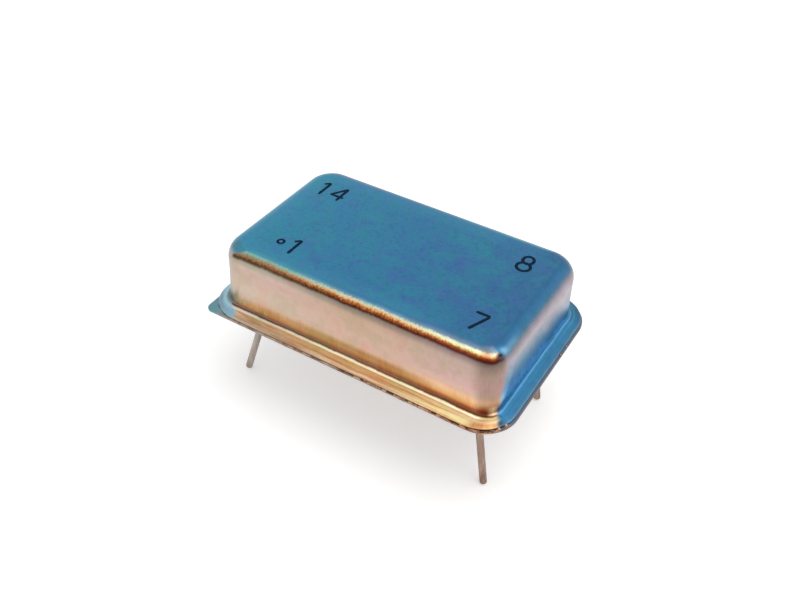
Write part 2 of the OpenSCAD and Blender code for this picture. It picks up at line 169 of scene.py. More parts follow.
def rounded(size, radii, middle=(0, 0), inset=0.0):
    """Rounded rectangle, pulled in by inset, from the start of its front side, anticlockwise:
    four straight runs, where a point slides from corner to corner, and four quarter circles,
    where a point is the corner's centre plus radius times (cos, sin). Radii go front left,
    front right, back right, back left."""
    r = np.broadcast_to(np.maximum(np.subtract(radii, inset), SHARPEST), 4)
    centres = np.array([[-1, -1], [1, -1], [1, 1], [-1, 1]]) * (np.asarray(size) / 2 - inset - r[:, None])
    outward = np.array([[0, -1], [1, 0], [0, 1], [-1, 0]])
    parts = []
    for k, steps in enumerate((SIDE_STEPS, END_STEPS, SIDE_STEPS, END_STEPS)):
        n = (k + 1) % 4
        start, stop = centres[k] + r[k] * outward[k], centres[n] + r[n] * outward[k]
        parts.append(start + np.linspace(0, 1, steps, endpoint=False)[:, None] * (stop - start))
        parts.append(centres[n] + r[n] * spokes((ARC + k - 1) * math.pi / 2))
    return np.concatenate(parts) + middle


def outward_of(size, radii):
    """Level unit directions that point out of a rounded outline, one for each of its points:
    the step from the outline to the one a millimetre larger all round."""
    return rounded(np.asarray(size) + 2, np.asarray(radii) + 1) - rounded(size, radii)


def around(side=0, corner=0, end=0, last=0):
    """One value for each point of an outline: those of a long side, the corner after it, an
    end and the corner after that, for the front half turn and again for the back half."""
    steps = ((side, SIDE_STEPS), (corner, ARC_STEPS), (end, END_STEPS), (last, ARC_STEPS))
    return np.tile(np.concatenate([np.broadcast_to(values, count) for values, count in steps]), 2)


# How far through a corner each of its points lies
ARC = np.linspace(0, 1, ARC_STEPS, endpoint=False)
# 1 in the middle of a corner and 0 at its ends
MOUND = np.sin(ARC * math.pi)


def girth(outline):
    """Distance walked along an outline, from its first point."""
    return np.concatenate([[0], np.cumsum(np.linalg.norm(np.diff(outline, axis=0), axis=1))])


def ripple(walked, seed, waves, size):
    """A closed ripple round an outline: a sum of sines with whole numbers of waves."""
    chosen = np.random.default_rng(seed)
    kinds = 24
    counts = chosen.integers(*waves, kinds)
    phases = chosen.uniform(0, math.tau, kinds)
    weights = chosen.uniform(0.4, 1, kinds) / math.sqrt(kinds)
    angle = math.tau * walked[:, None] / (walked[-1] + walked[1]) * counts + phases
    return size * (np.sin(angle) * weights).sum(1)


def trimmed(size, radii, middle, waves):
    """A flange's outline at any inset, with the slight ripple of a trimmed edge."""
    trim = outward_of(size, radii) * waves[:, None]
    return lambda inset: rounded(size, radii, middle, inset) - trim


# ------------ colours and finishes
# Metres to millimetres, for the coordinates that the patterns read
IN_MM = np.full(3, 1 / MM)
# Settings that many nodes share
BLEND = {"data_type": "RGBA"}
TINT = {"data_type": "RGBA", "blend_type": "MULTIPLY"}
TIMES = {"operation": "MULTIPLY"}
TIMES_PLUS = {"operation": "MULTIPLY_ADD"}
SMOOTH = {"interpolation_type": "SMOOTHSTEP"}


def colour(code):
    """Linear colour of an sRGB hex value."""
    srgb = np.array([int(code[k:k + 2], 16) for k in (0, 2, 4)]) / 255
    linear = np.where(srgb <= 0.04045, srgb / 12.92, ((srgb + 0.055) / 1.055) ** 2.4)
    return (*linear.tolist(), 1.0)


def add_node(tree, kind, inputs=(), stops=None, **settings):
    """Adds a node with its settings and links. Settings are its properties. Inputs are
    values, hex colours, nodes or their outputs, listed in the order of the working sockets
    or keyed by name. Stops are the places and hex colours of a colour ramp."""
    made = tree.nodes.new("ShaderNode" + kind)
    for name, value in settings.items():
        setattr(made, name, value)
    if stops:
        ramp = made.color_ramp
        while len(ramp.elements) < len(stops):
            ramp.elements.new(1.0)
        for element, (place, code) in zip(ramp.elements, stops.items()):
            element.position, element.color = place, colour(code)
    sockets = [socket for socket in made.inputs if socket.enabled]
    if not isinstance(inputs, dict):
        inputs = {socket.identifier: value for socket, value in zip(sockets, inputs)}
    for key, value in inputs.items():
        socket = next(socket for socket in sockets if key in (socket.identifier, socket.name))
        if isinstance(value, bpy.types.Node):
            value = next(output for output in value.outputs if output.enabled)
        if isinstance(value, bpy.types.NodeSocket):
            tree.links.new(value, socket)
        else:
            socket.default_value = colour(value) if isinstance(value, str) else value
    return made


def start_finish(name, group=bpy.data.materials):
    """A new empty material or world, and add_node working in its tree."""
    made = group.new(name)
    made.use_nodes = True
    made.node_tree.nodes.clear()
    return made, partial(add_node, made.node_tree)


def end_finish(made, **sockets):
    """Closes a material with one Principled shader. Its sockets hold values or nodes."""
    named = {key.replace("_", " "): value for key, value in sockets.items()}
    shader = add_node(made.node_tree, "BsdfPrincipled", named)
    add_node(made.node_tree, "OutputMaterial", {"Surface": shader})
    return made


# Readings down the lid's profile: the rim starts at the first, the foot turns into the
# flange between the next two, and the ramps that paint the lid run to the last
RIM_START, FLANGE_START, PROFILE = 1.5, (6.2, 6.4), 8.0

# Colours of nickel at readings down the profile, painted with reflections of a coloured
# surrounding, blue from above and warm from the front, with painted highlight lines on the rim
# and at the foot, painted shade in dark lines under the rim's band and at the foot, and the
# flange's painted reflection low on the wall
LONG_SIDE_START = {
    1.5: "4392a9", 1.8: "4f9aae", 1.92: "8bbcb7", 2.03: "989c7d", 2.2: "9e6d4d", 2.36: "523621",
    2.44: "70624b", 2.56: "bab1a3", 2.85: "d0b6ac", 3.2: "ceb0a5", 4.9: "d8c3b0", 5.2: "e4c9b3",
    5.45: "f0cda1", 5.7: "f5d196", 5.92: "deb38f", 6.06: "aa8173", 6.17: "432e20", 6.24: "7d6d63",
    6.31: "d1c6b8", 6.43: "e2e8df", 6.53: "e7dfc8", 6.85: "cdb295", 7.08: "c0ad9a", 7.2: "c4aea2"}
LONG_SIDE_MIDDLE = {
    1.5: "3f6d9a", 1.74: "4a86ab", 1.88: "7ba0b0", 1.98: "cedac2", 2.07: "f0c490", 2.2: "b66a2f",
    2.32: "814522", 2.4: "370e04", 2.53: "948179", 2.72: "aa9785", 2.9: "c3a491", 3.2: "cbac97",
    4.8: "d8b6a7", 5.1: "e0bfa8", 5.4: "c8a97e", 5.66: "d6b58b", 5.9: "b6876f", 6.05: "a8826d",
    6.16: "5b3b26", 6.23: "c7a27c", 6.31: "ffffec", 6.42: "fff4cc", 6.55: "fff0be", 6.7: "fed5a0",
    6.88: "cda97f", 7.02: "ffe9c6", 7.2: "ab7d60"}
LONG_SIDE_FINISH = {
    1.5: "5d7199", 1.72: "6683a6", 1.86: "738c9b", 1.96: "e1e6cc", 2.07: "fff7bb", 2.2: "bc6836",
    2.32: "743623", 2.42: "562e29", 2.55: "9f8886", 2.74: "b19c91", 2.95: "bfa69b", 3.2: "c3a99c",
    4.4: "d7b1ac", 4.9: "dfc0ae", 5.2: "fdd4b3", 5.44: "ffdcb8", 5.66: "ffcc9a", 5.86: "c67857",
    6.02: "ad6e5e", 6.16: "372414", 6.23: "ae936c", 6.31: "ffffcf", 6.43: "fffff0", 6.55: "ffffdc",
    6.85: "fff6bc", 7.08: "ffe9b2", 7.2: "b27053"}
END_TINTS = {
    1.5: "326791", 1.95: "3c77a3", 2.2: "4a7ca3", 2.32: "62839c", 2.46: "8b8f9e", 2.65: "a498a3",
    2.9: "b0a7b2", 3.2: "aba5b2", 3.5: "a1a3b3", 3.85: "8fa0b4", 4.25: "6b98b5", 4.7: "518bb6",
    5.2: "4e97ce", 5.6: "7ac6f8", 5.95: "6bc3f7", 6.06: "448bbf", 6.13: "478ec4", 6.19: "78b8ec",
    6.25: "4a8ec0", 6.42: "3a7dab", 6.52: "4992bc", 6.66: "3e82b1", 6.84: "3d7fab", 7.0: "4b7c9d",
    7.15: "679cc4"}
START_END_TINTS = {
    1.5: "438ea7", 2.05: "4c93b0", 2.2: "7ea5b0", 2.34: "a8b0ac", 2.6: "aeaaa8", 3.2: "aaa4a6",
    4.2: "a8a2a4", 4.8: "aaa9a4", 5.2: "a0a5a4", 5.6: "8a8a90", 6.0: "7c8088", 6.2: "84a4b4",
    6.34: "b4d0d8", 6.48: "a2d2ea", 6.8: "8cc0dc", 7.1: "96bac8"}
# Painted shade in the corners, multiplied over the side colours
CORNER_PAINTED_SHADE = {
    1.75: "d8c0b8", 2.0: "d8b8a8", 2.15: "d99b8c", 2.4: "dcae98", 2.6: "c6c2be", 4.6: "bcb4ac",
    5.4: "a89684", 5.75: "a0735c", 6.0: "a07a60", 6.2: "a08a70", 6.42: "9c8868", 6.56: "ece0d4",
    6.76: "c09c86", 6.92: "b07c6e", 7.02: "b08678", 7.12: "c0a49c"}


def lid_finish():
    """Nickel-plated steel lid, deep drawn and satin, painted with reflections of a coloured
    surrounding: steel blue on the top and the ends, straw and bronze round the rim and the
    flanges of the long sides, and pinkish nickel on their walls, with painted highlight lines
    and painted shade. A noise lists its place, scale, detail, roughness, lacunarity and distortion."""
    made, add = start_finish("drawn_nickel_painted_reflections")
    place = add("Mapping", {"Vector": add("TexCoord").outputs["Object"], "Scale": IN_MM})
    along = add("SeparateXYZ", [place])
    across, tint, end_tint, walked, run, turn, wall, rim, corner, meeting, scorch, glint, inside = (
        add("Attribute", attribute_name=name).outputs["Fac"] for name in
        "across tint end_tint girth run turn wall rim corner meeting scorch glint inside".split())
    # Drawing marks run down the wall, about 0.1 mm apart, drawn coarser than real
    walk = add("CombineXYZ", [walked, add("Math", [across, 0.12], **TIMES)])
    comb = add("TexNoise", [walk, 9.0, 3.0, 0.6])
    drift = add("TexNoise", [walk, 0.9, 2.0])
    # Orange peel on the rim, where the sheet was stretched: grains of about 0.12 mm. Satin
    # grain all over, of about 0.2 mm
    peel = add("TexNoise", [place, 8.0, 2.0, 0.65])
    grain = add("TexNoise", [place, 5.0, 3.0, 0.65])
    # The colour bands wander a little across the profile, and are ragged on the rim
    wander = add("Math", [drift, 0.14, -0.10], **TIMES_PLUS)
    wander = add("Math", [comb, 0.06, wander], **TIMES_PLUS)
    ragged = add("Math", [peel, -0.5])
    for share in (rim, add("MapRange", [run, 0.2, 0.9, 1.0, 0.55])):
        ragged = add("Math", [ragged, share], **TIMES)
    wander = add("Math", [ragged, 0.42, wander], **TIMES_PLUS)
    tint = add("Math", [tint, wander])
    # On an end the blue climbs the wall towards one corner, with a combed edge
    streak = add("Math", [comb, add("Math", [drift, -1.0])])
    combed = add("Math", [streak, wall], **TIMES)
    end_tint = add("Math", [end_tint, wander])
    end_tint = add("Math", [combed, 1.3, end_tint], **TIMES_PLUS)
    start, middle, finish, far_end, start_end, worn = (
        add("ValToRGB", [add("Math", [reading, PROFILE], operation="DIVIDE")],
            {mm / PROFILE: code for mm, code in tints.items()})
        for reading, tints in ((tint, LONG_SIDE_START), (tint, LONG_SIDE_MIDDLE), (tint, LONG_SIDE_FINISH),
                               (end_tint, END_TINTS), (end_tint, START_END_TINTS), (across, CORNER_PAINTED_SHADE)))
    past_start = add("MapRange", [run, -0.9, 0.1], **SMOOTH)
    near_finish = add("MapRange", [run, 0.3, 0.9], **SMOOTH)
    # The painted reflection on the start end is paler
    start_end_share = add("MapRange", [along, 0.0, -5.0])
    end_side = add("Mix", [start_end_share, far_end, start_end], **BLEND)
    turn = add("Math", [comb, 0.3, add("Math", [turn, -0.15])], **TIMES_PLUS)
    turn = add("MapRange", [turn, 0.1, 0.9], **SMOOTH)
    speckle = add("MapRange", [peel, 0.42, 0.56, 1.0, 0.25])
    scorched = add("Math", [scorch, speckle], **TIMES)
    # Painted shade in the corners, broken by the drawing marks
    corner = add("Math", [corner, add("MapRange", [comb, 0.3, 0.7, 0.82, 1.04])], **TIMES)
    # The painted colours near the weld are streaked: along the drawing marks at the wall's foot,
    # and lengthwise on the flange, where the electrode slid
    on_flange = add("MapRange", [turn, 0.0, 1.0, 1.0, 0.3])
    on_foot = add("Math", [on_flange, add("MapRange", [across, 4.8, 5.6])], **TIMES)
    on_foot = add("Math", [on_foot, add("MapRange", [across, *FLANGE_START, 1.0, 0.0])], **TIMES)
    on_flange = add("Math", [on_flange, add("MapRange", [across, *FLANGE_START])], **TIMES)
    streaks = add("ValToRGB", [add("Math", [streak, 0.5])],
                  {0.34: "f0e2d2", 0.5: "fcf8f4", 0.6: "ffffff"})
    slide = add("CombineXYZ", [add("Math", [walked, 0.06], **TIMES), across])
    slid = add("ValToRGB", [add("TexNoise", [slide, 6.0, 2.0])],
               {0.3: "e2c0a4", 0.5: "fff8f0", 0.62: "ffffff"})
    # Faint clouds of rose and green-grey on the wall
    cloud = add("ValToRGB", [add("TexNoise", [place, 0.8, 2.0, 0.6])],
                {0.36: "f4f8ef", 0.5: "ffffff", 0.64: "fff5f2"})
    # Sides: the long side's painted colours, changed on the ends; a painted pale blue highlight and
    # a dark speckled spot on the rim beside the change; painted shade in the corners; a painted
    # peach highlight at the foot
    walls = start
    for share, over, way in (
            (past_start, middle, BLEND), (near_finish, finish, BLEND), (turn, end_side, BLEND),
            (meeting, "8cc6e6", BLEND), (scorched, "43332f", BLEND), (corner, worn, TINT),
            (glint, "ffdcb4", BLEND), (on_foot, streaks, TINT), (on_flange, slid, TINT),
            (1.0, cloud, TINT)):
        walls = add("Mix", [share, walls, over], **way)
    # Top: painted reflection of a blue surrounding, teal at one end, deeper blue at the other, with
    # patches of teal and of violet
    top = add("ValToRGB", [add("MapRange", [along, -9.5, 9.3])],
              {0.0: "3889a8", 0.3: "387fa3", 0.6: "3a77a0", 1.0: "3b6c96"})
    teal = add("TexNoise", [place, 0.6, 5.0, 0.62, 2.0, 0.5])
    teal = add("MapRange", [teal, 0.42, 0.66, 0.0, 0.6])
    violet = add("TexNoise", [place, 0.75, 5.0, 0.65, 2.0, 0.7])
    violet = add("MapRange", [violet, 0.5, 0.7, 0.0, 0.65])
    mottle = add("ValToRGB", [add("TexNoise", [place, 2.4, 4.0, 0.7])],
                 {0.34: "dcf0f2", 0.5: "ffffff", 0.66: "f2e8ff"})
    # A paler painted reflection near the rim, fading towards the right
    near_rim = add("MapRange", [across, 0.4, 1.6, 0.0, 0.35])
    near_rim = add("Math", [near_rim, add("MapRange", [along, 3.0, 8.5, 1.0, 0.0])], **TIMES)
    for share, over, way in ((teal, "358c9c", BLEND), (violet, "4a68a6", BLEND), (1.0, mottle, TINT),
                             (near_rim, "4a93b2", BLEND)):
        top = add("Mix", [share, top, over], **way)
    off_top = add("MapRange", [tint, 1.42, 1.72], **SMOOTH)
    shade = add("Mix", [grain, "eef0f0", "ffffff"], **BLEND)
    marks = add("Math", [add("MapRange", [comb, 0.3, 0.7, 0.0, 0.14]), wall], **TIMES)
    # Painted shade in the groove under the edge of the flange, along the weld: a dark, broken line
    seam = add("MapRange", [add("TexNoise", [walk, 2.0, 4.0, 0.7]), 0.44, 0.53, 0.05, 1.0])
    for share in (add("MapRange", [across, 7.15, 7.22], **SMOOTH),
                  add("MapRange", [run, -1.0, 0.3, 0.35, 1.0])):
        seam = add("Math", [seam, share], **TIMES)
    bare = add("Mix", [grain, "a9a69f", "bcb8b0"], **BLEND)
    skin = top
    for share, over, way in ((off_top, walls, BLEND), (1.0, shade, TINT), (marks, "e0dcd6", TINT),
                             (seam, "38241a", BLEND), (inside, bare, BLEND)):
        skin = add("Mix", [share, skin, over], **way)
    # The welding electrode left the flange duller
    rough = add("MapRange", [grain, 0.3, 0.7, 0.28, 0.36])
    rough = add("Math", [rough, add("MapRange", [across, 6.25, 6.4, 0.0, 0.04])])
    relief = add("Math", [peel, rim], **TIMES)
    relief = add("Math", [relief, 4.0, grain], **TIMES_PLUS)
    relief = add("Math", [comb, wall, relief], **TIMES_PLUS)
    bump = add("Bump", {"Height": relief, "Distance": 0.0016 * MM})
    return end_finish(made, Metallic=1.0, Base_Color=skin, Roughness=rough, Normal=bump)


def header_finish():
    """Nickel-plated stamped steel header: pinkish grey satin metal with coppery weld colour along
    its edge, dashes of painted shade under the seam, grey-blue painted reflection on the ends,
    and a painted teal reflection at the sharper corner."""
    made, add = start_finish("stamped_nickel_weld_tinted")
    place = add("Mapping", {"Vector": add("TexCoord").outputs["Object"], "Scale": IN_MM})
    along, aside, up = add("SeparateXYZ", [place]).outputs
    edge, ends = (add("Attribute", attribute_name=name).outputs["Fac"] for name in ("edge", "turn"))
    grain = add("TexNoise", [place, 3.0, 3.0, 0.6])
    cloud = add("MapRange", [add("TexNoise", [place, 0.5, 3.0, 0.6, 2.0, 0.5]), 0.35, 0.65])
    scorch = add("MapRange", [add("TexNoise", [place, 1.7, 3.0, 0.65]), 0.46, 0.62, 0.0, 0.8])
    # Dashes of painted shade hang from the seam, on the upper part of the header's edge, stronger
    # towards the right
    dashes = add("MapRange", [add("TexNoise", [place, 2.3, 3.0, 0.7]), 0.47, 0.55])
    for share in (add("MapRange", [up, Z_SEAT + 0.11, Z_SEAT + 0.18]),
                  add("MapRange", [along, -4, 2, 0.25, 0.9])):
        dashes = add("Math", [dashes, share], **TIMES)
    weld = add("ValToRGB", [add("MapRange", [along, -7, 8])],
               {0.0: "a39488", 0.5: "b39a88", 1.0: "c0917a"})
    # The grey-blue on the ends is painted reflection
    for share, over in ((scorch, "80604c"), (dashes, "3c281d"), (ends, "666c78")):
        weld = add("Mix", [share, weld, over], **BLEND)
    # Painted teal reflection at the corner of pin 1
    mark = edge
    for share in (add("MapRange", [along, -8.4, -9.6]),
                  add("MapRange", [aside, -4.4, -6.1])):
        mark = add("Math", [mark, share], **TIMES)
    teal = add("Mix", [cloud, "66939a", "7f9fb0"], **BLEND)
    shade = add("Mix", [grain, "ececec", "ffffff"], **BLEND)
    skin = add("Mix", [cloud, "b3a79d", "a2958c"], **BLEND)
    for share, over, way in ((edge, weld, BLEND), (mark, teal, BLEND), (1.0, shade, TINT)):
        skin = add("Mix", [share, skin, over], **way)
    rough = add("MapRange", [grain, 0.3, 0.7, 0.3, 0.42])
    bump = add("Bump", {"Height": grain, "Distance": 0.003 * MM})
    return end_finish(made, Metallic=1.0, Base_Color=skin, Roughness=rough, Normal=bump)


def plain(name, light, dark, per_mm, rough=(0.4, 0.5), depth=0.002, stretch=(1, 1, 1), **sockets):
    """A finish with two tones that drift into each other at a real scale, roughness that
    follows them, and a little relief. Depth is in millimetres."""
    made, add = start_finish(name)
    scale = np.multiply(stretch, per_mm) * IN_MM
    scaled = add("Mapping", {"Vector": add("TexCoord").outputs["Object"], "Scale": scale})
    tone = add("TexNoise", [scaled, 1.0, 4.0, 0.6])
    fine = add("TexNoise", [scaled, 6.0, 2.0, 0.6])
    mixed = add("Math", [fine, 0.35, add("Math", [tone, 0.65], **TIMES)], **TIMES_PLUS)
    skin = add("Mix", [add("MapRange", [mixed, 0.36, 0.64]), dark, light], **BLEND)
    follow = add("MapRange", [fine, 0.3, 0.7, *rough])
    bump = add("Bump", {"Height": mixed, "Distance": depth * MM})
    return end_finish(made, Base_Color=skin, Roughness=follow, Normal=bump, **sockets)


FINISHES = {
    "lid_nickel": lid_finish(),
    "header_nickel": header_finish(),
    # Iron-nickel-cobalt wire, drawn and nickel flashed: warm grey satin metal, lines along it
    "pin_metal": plain("pin_drawn_alloy", "b8aea6", "857a70", 1.2, (0.3, 0.42), 0.004,
                       (1, 1, 0.12), Metallic=1.0),
    # Sealing glass, fused in the furnace: dark grey-green, glossy, a few fine bubbles
    "seal_glass": plain("seal_borosilicate_glass", "46605f", "25383c", 1.5, (0.06, 0.14),
                        IOR=1.48, Coat_Weight=0.3),
    # Silver-copper braze, melted and frozen: pale gold, soft shine
    "braze": plain("silver_copper_braze", "d8c7a0", "b39c72", 2.0, (0.24, 0.36), 0.006, Metallic=1.0),
    # Fired alumina: near-white matt ceramic
    "alumina": plain("fired_alumina", "eeece6", "dedbd2", 4.0, (0.55, 0.7), 0.003),
    # Fired palladium-silver film: dull grey metal
    "conductor_film": plain("fired_silver_film", "c9c6bf", "a09c93", 5.0, (0.4, 0.55), 0.004, Metallic=1.0),
    # Fired ruthenium oxide film: near-black, matt
    "resistor_film": plain("fired_resistor_film", "2d2b2c", "1b1a1c", 5.0, (0.45, 0.6), 0.003),
    # Tin-lead solder: bright grey, slightly frosted
    "solder": plain("reflowed_solder", "cfd0cf", "a6a8a8", 3.0, (0.22, 0.34), 0.005, Metallic=1.0),
    # Lapped quartz plate: greyish translucent white
    "quartz": plain("lapped_quartz", "e3e8ea", "cfd6d9", 4.0, (0.25, 0.4), 0.001,
                    IOR=1.544, Transmission_Weight=0.5),
    # Evaporated silver electrode: bright, smooth
    "electrode_silver": plain("evaporated_silver", "efeee9", "d9d6cd", 3.0, (0.14, 0.22), 0.0005,
                              Metallic=1.0),
    # Nickel-silver spring strip, rolled: yellowish white metal with rolling lines
    "clip_metal": plain("rolled_nickel_silver", "cdc6b2", "aaa289", 3.0, (0.24, 0.34), 0.001,
                        (0.15, 1, 1), Metallic=1.0),
    # Silver-filled polyimide cement: matt pale grey with sparkle
    "conductive_cement": plain("silver_filled_cement", "bcb9b2", "8b8882", 8.0, (0.5, 0.7), 0.006,
                               Metallic=0.4),
    # Silicon die with its oxide: dark violet-grey, glossy
    "silicon": plain("oxidised_silicon", "5b5a72", "37394c", 6.0, (0.12, 0.2), 0.0005, Metallic=0.6),
    # Gold bond wire: bright drawn gold
    "gold_wire": plain("drawn_gold_wire", "f3cf78", "d8aa4a", 6.0, (0.16, 0.26), 0.001, Metallic=1.0),
    # Barium titanate capacitor body: tan, satin ceramic
    "capacitor_ceramic": plain("tan_titanate_ceramic", "b99a73", "9c7d58", 4.0, (0.4, 0.55)),
}
# The wire of pins 7 and 8, warmed by the braze and the weld
WARM_PIN = plain("pin_drawn_alloy_warm", "b79d8e", "7f685b", 1.4, (0.3, 0.42), 0.004,
                 (1, 1, 0.1), Metallic=1.0)
# Baked epoxy marking ink: near-black navy, satin, thinner in places
INK = plain("baked_marking_ink", "0d2a42", "071828", 4.0, (0.6, 0.75), 0.003, Specular_IOR_Level=0.06)
# Metal thrown out by the weld: small frozen beads, coppery pink
SPLASH = plain("weld_splash_metal", "e6b79f", "8e5f48", 3.0, (0.2, 0.34), 0.004, Metallic=1.0)


# ------------ lid
TOP_SINK = 0.02
# Half lengths of the top's middle line and of its flat part across
SPINE, TOP_HALF = (CAN_SIZE[0] - CAN_SIZE[1]) / 2, CAN_SIZE[1] / 2 - CAN_RIM


def sunk(share):
    """How far the top is sunk, at a share of the way from its middle line to the rim:
    sink * (1 - share^2)^2."""
    return TOP_SINK * (1 - share ** 2) ** 2


def top_height(places):
    """Height of the lid's top at places of its plan."""
    gone = np.abs(places - CAN_MIDDLE)
    past = np.clip(gone[:, 0] - SPINE, 0, None)
    return Z_TOP - sunk(np.clip(np.maximum(gone[:, 1], past) / TOP_HALF, 0, 1))


def top_ring(rim, share):
    """A ring of the top: share 1 is the rim's ring and 0 lies on the top's middle line."""
    along = np.clip(rim[:, 0] - CAN_MIDDLE[0], -SPINE, SPINE)
    spine = np.column_stack([along, np.zeros(len(rim))]) + CAN_MIDDLE
    return spine + share * (rim - spine)


def lid_stations(walked):
    """Outline, height and reading at each station of the lid's profile: from the middle of
    the top over the rim, down the wall, round the foot, over the coined bevel, across the
    flange and its edge, and back under and up inside. The reading is the distance down the
    profile on the outside, and PROFILE inside."""
    can_ring = partial(rounded, CAN_SIZE, CAN_CORNER, CAN_MIDDLE)
    flat_edge = can_ring(CAN_RIM)
    for share in np.linspace(0, 0.96, 24):
        yield top_ring(flat_edge, share), Z_TOP - sunk(share), RIM_START - (1 - share) * TOP_HALF
    rim_middle = Z_TOP - CAN_RIM
    for a, left, down in quarter(24):
        yield can_ring(CAN_RIM * left), Z_TOP - CAN_RIM * down, RIM_START + CAN_RIM * a
    # The wall, a drop to the start of the foot. The sheet was drawn least at the foot, so the
    # corners tighten on the way down with the square of the drop
    reading = RIM_START + CAN_RIM * math.pi / 2
    foot_top, foot_low, foot_round = Z_FLANGE + 0.16, Z_FLANGE + 0.07, 0.1
    drop = rim_middle - foot_top
    for share in np.linspace(0, 1, 22)[1:-1]:
        radii = CAN_CORNER + (FOOT_CORNERS - CAN_CORNER) * share ** 2
        yield rounded(CAN_SIZE, radii, CAN_MIDDLE), rim_middle - share * drop, reading + share * drop
    reading += drop
    # The foot: a small round that stops at the slope of the bevel; it is wider in the corners
    can, outward = rounded(CAN_SIZE, FOOT_CORNERS, CAN_MIDDLE), outward_of(CAN_SIZE, CAN_CORNER)
    slope, swell, foot_long = math.radians(65), 1 + 0.6 * around(corner=MOUND, last=MOUND)[:, None], 0.11
    for share in np.linspace(0, 1, 7):
        a = share * slope
        out = foot_round * (1 - math.cos(a)) * swell
        fallen = (foot_top - foot_low) * math.sin(a) / math.sin(slope)
        yield can + outward * out, foot_top - fallen, reading + share * foot_long
    reading += foot_long
    # The electrode's bevel beside the foot, then the flange, which falls away a little
    bevel, bevel_drop, bevel_long = 0.20, 0.09, 0.31
    foot_out = foot_round * (1 - math.cos(slope)) * swell
    for share in (0.35, 0.7, 0.9, 1.0):
        out = foot_out + share * bevel
        yield can + outward * out, foot_low - share * bevel_drop, reading + share * bevel_long
    reading += bevel_long
    waves = ripple(walked, 7, (9, 70), 0.004) + 0.009
    flange_ring = trimmed(LID_SIZE, FLANGE_CORNER, LID_MIDDLE, waves)
    edge_round, lower_round, under = 0.05, 0.04, LID_LOW[2]
    inner, edge = can + outward * (foot_out + bevel), flange_ring(edge_round)
    height, fall, flange_long = foot_low - bevel_drop, 0.11, 0.63
    for share in (0.08, 0.2, 0.4, 0.6, 0.8, 1.0):
        yield inner + share * (edge - inner), height - fall * share ** 1.5, reading + share * flange_long
    reading += flange_long
    height -= fall
    extra = 0.02
    for _, left, down in quarter(6)[1:]:
        gone = edge_round * down
        yield flange_ring(edge_round * left), height - gone, reading + gone + extra * (1 - left)
    reading += height - under + extra
    for _, left, down in quarter(6):
        yield flange_ring(lower_round * down), under + lower_round * left, reading - lower_round * left
    # Underside and inside, finished plainly
    cavity_ring = partial(rounded, CAN_SIZE - 2 * LID_SHEET, CAN_CORNER - LID_SHEET, CAN_MIDDLE)
    inner_rim, mouth_round, ceiling = CAN_RIM - LID_SHEET, 0.12, Z_TOP - LID_SHEET
    mouth, shoulder = under + mouth_round, ceiling - inner_rim
    yield flange_ring(0.2), under, PROFILE
    for _, left, down in quarter(5):
        yield cavity_ring(-mouth_round * left), under + mouth_round * down, PROFILE
    for share in np.linspace(0, 1, 5)[1:-1]:
        yield cavity_ring(0.0), mouth + share * (shoulder - mouth), PROFILE
    for _, left, down in quarter(9):
        yield cavity_ring(inner_rim * down), ceiling - inner_rim * left, PROFILE
    for share in np.linspace(0.9, 0, 6):
        yield top_ring(cavity_ring(inner_rim), share), ceiling - sunk(share), PROFILE


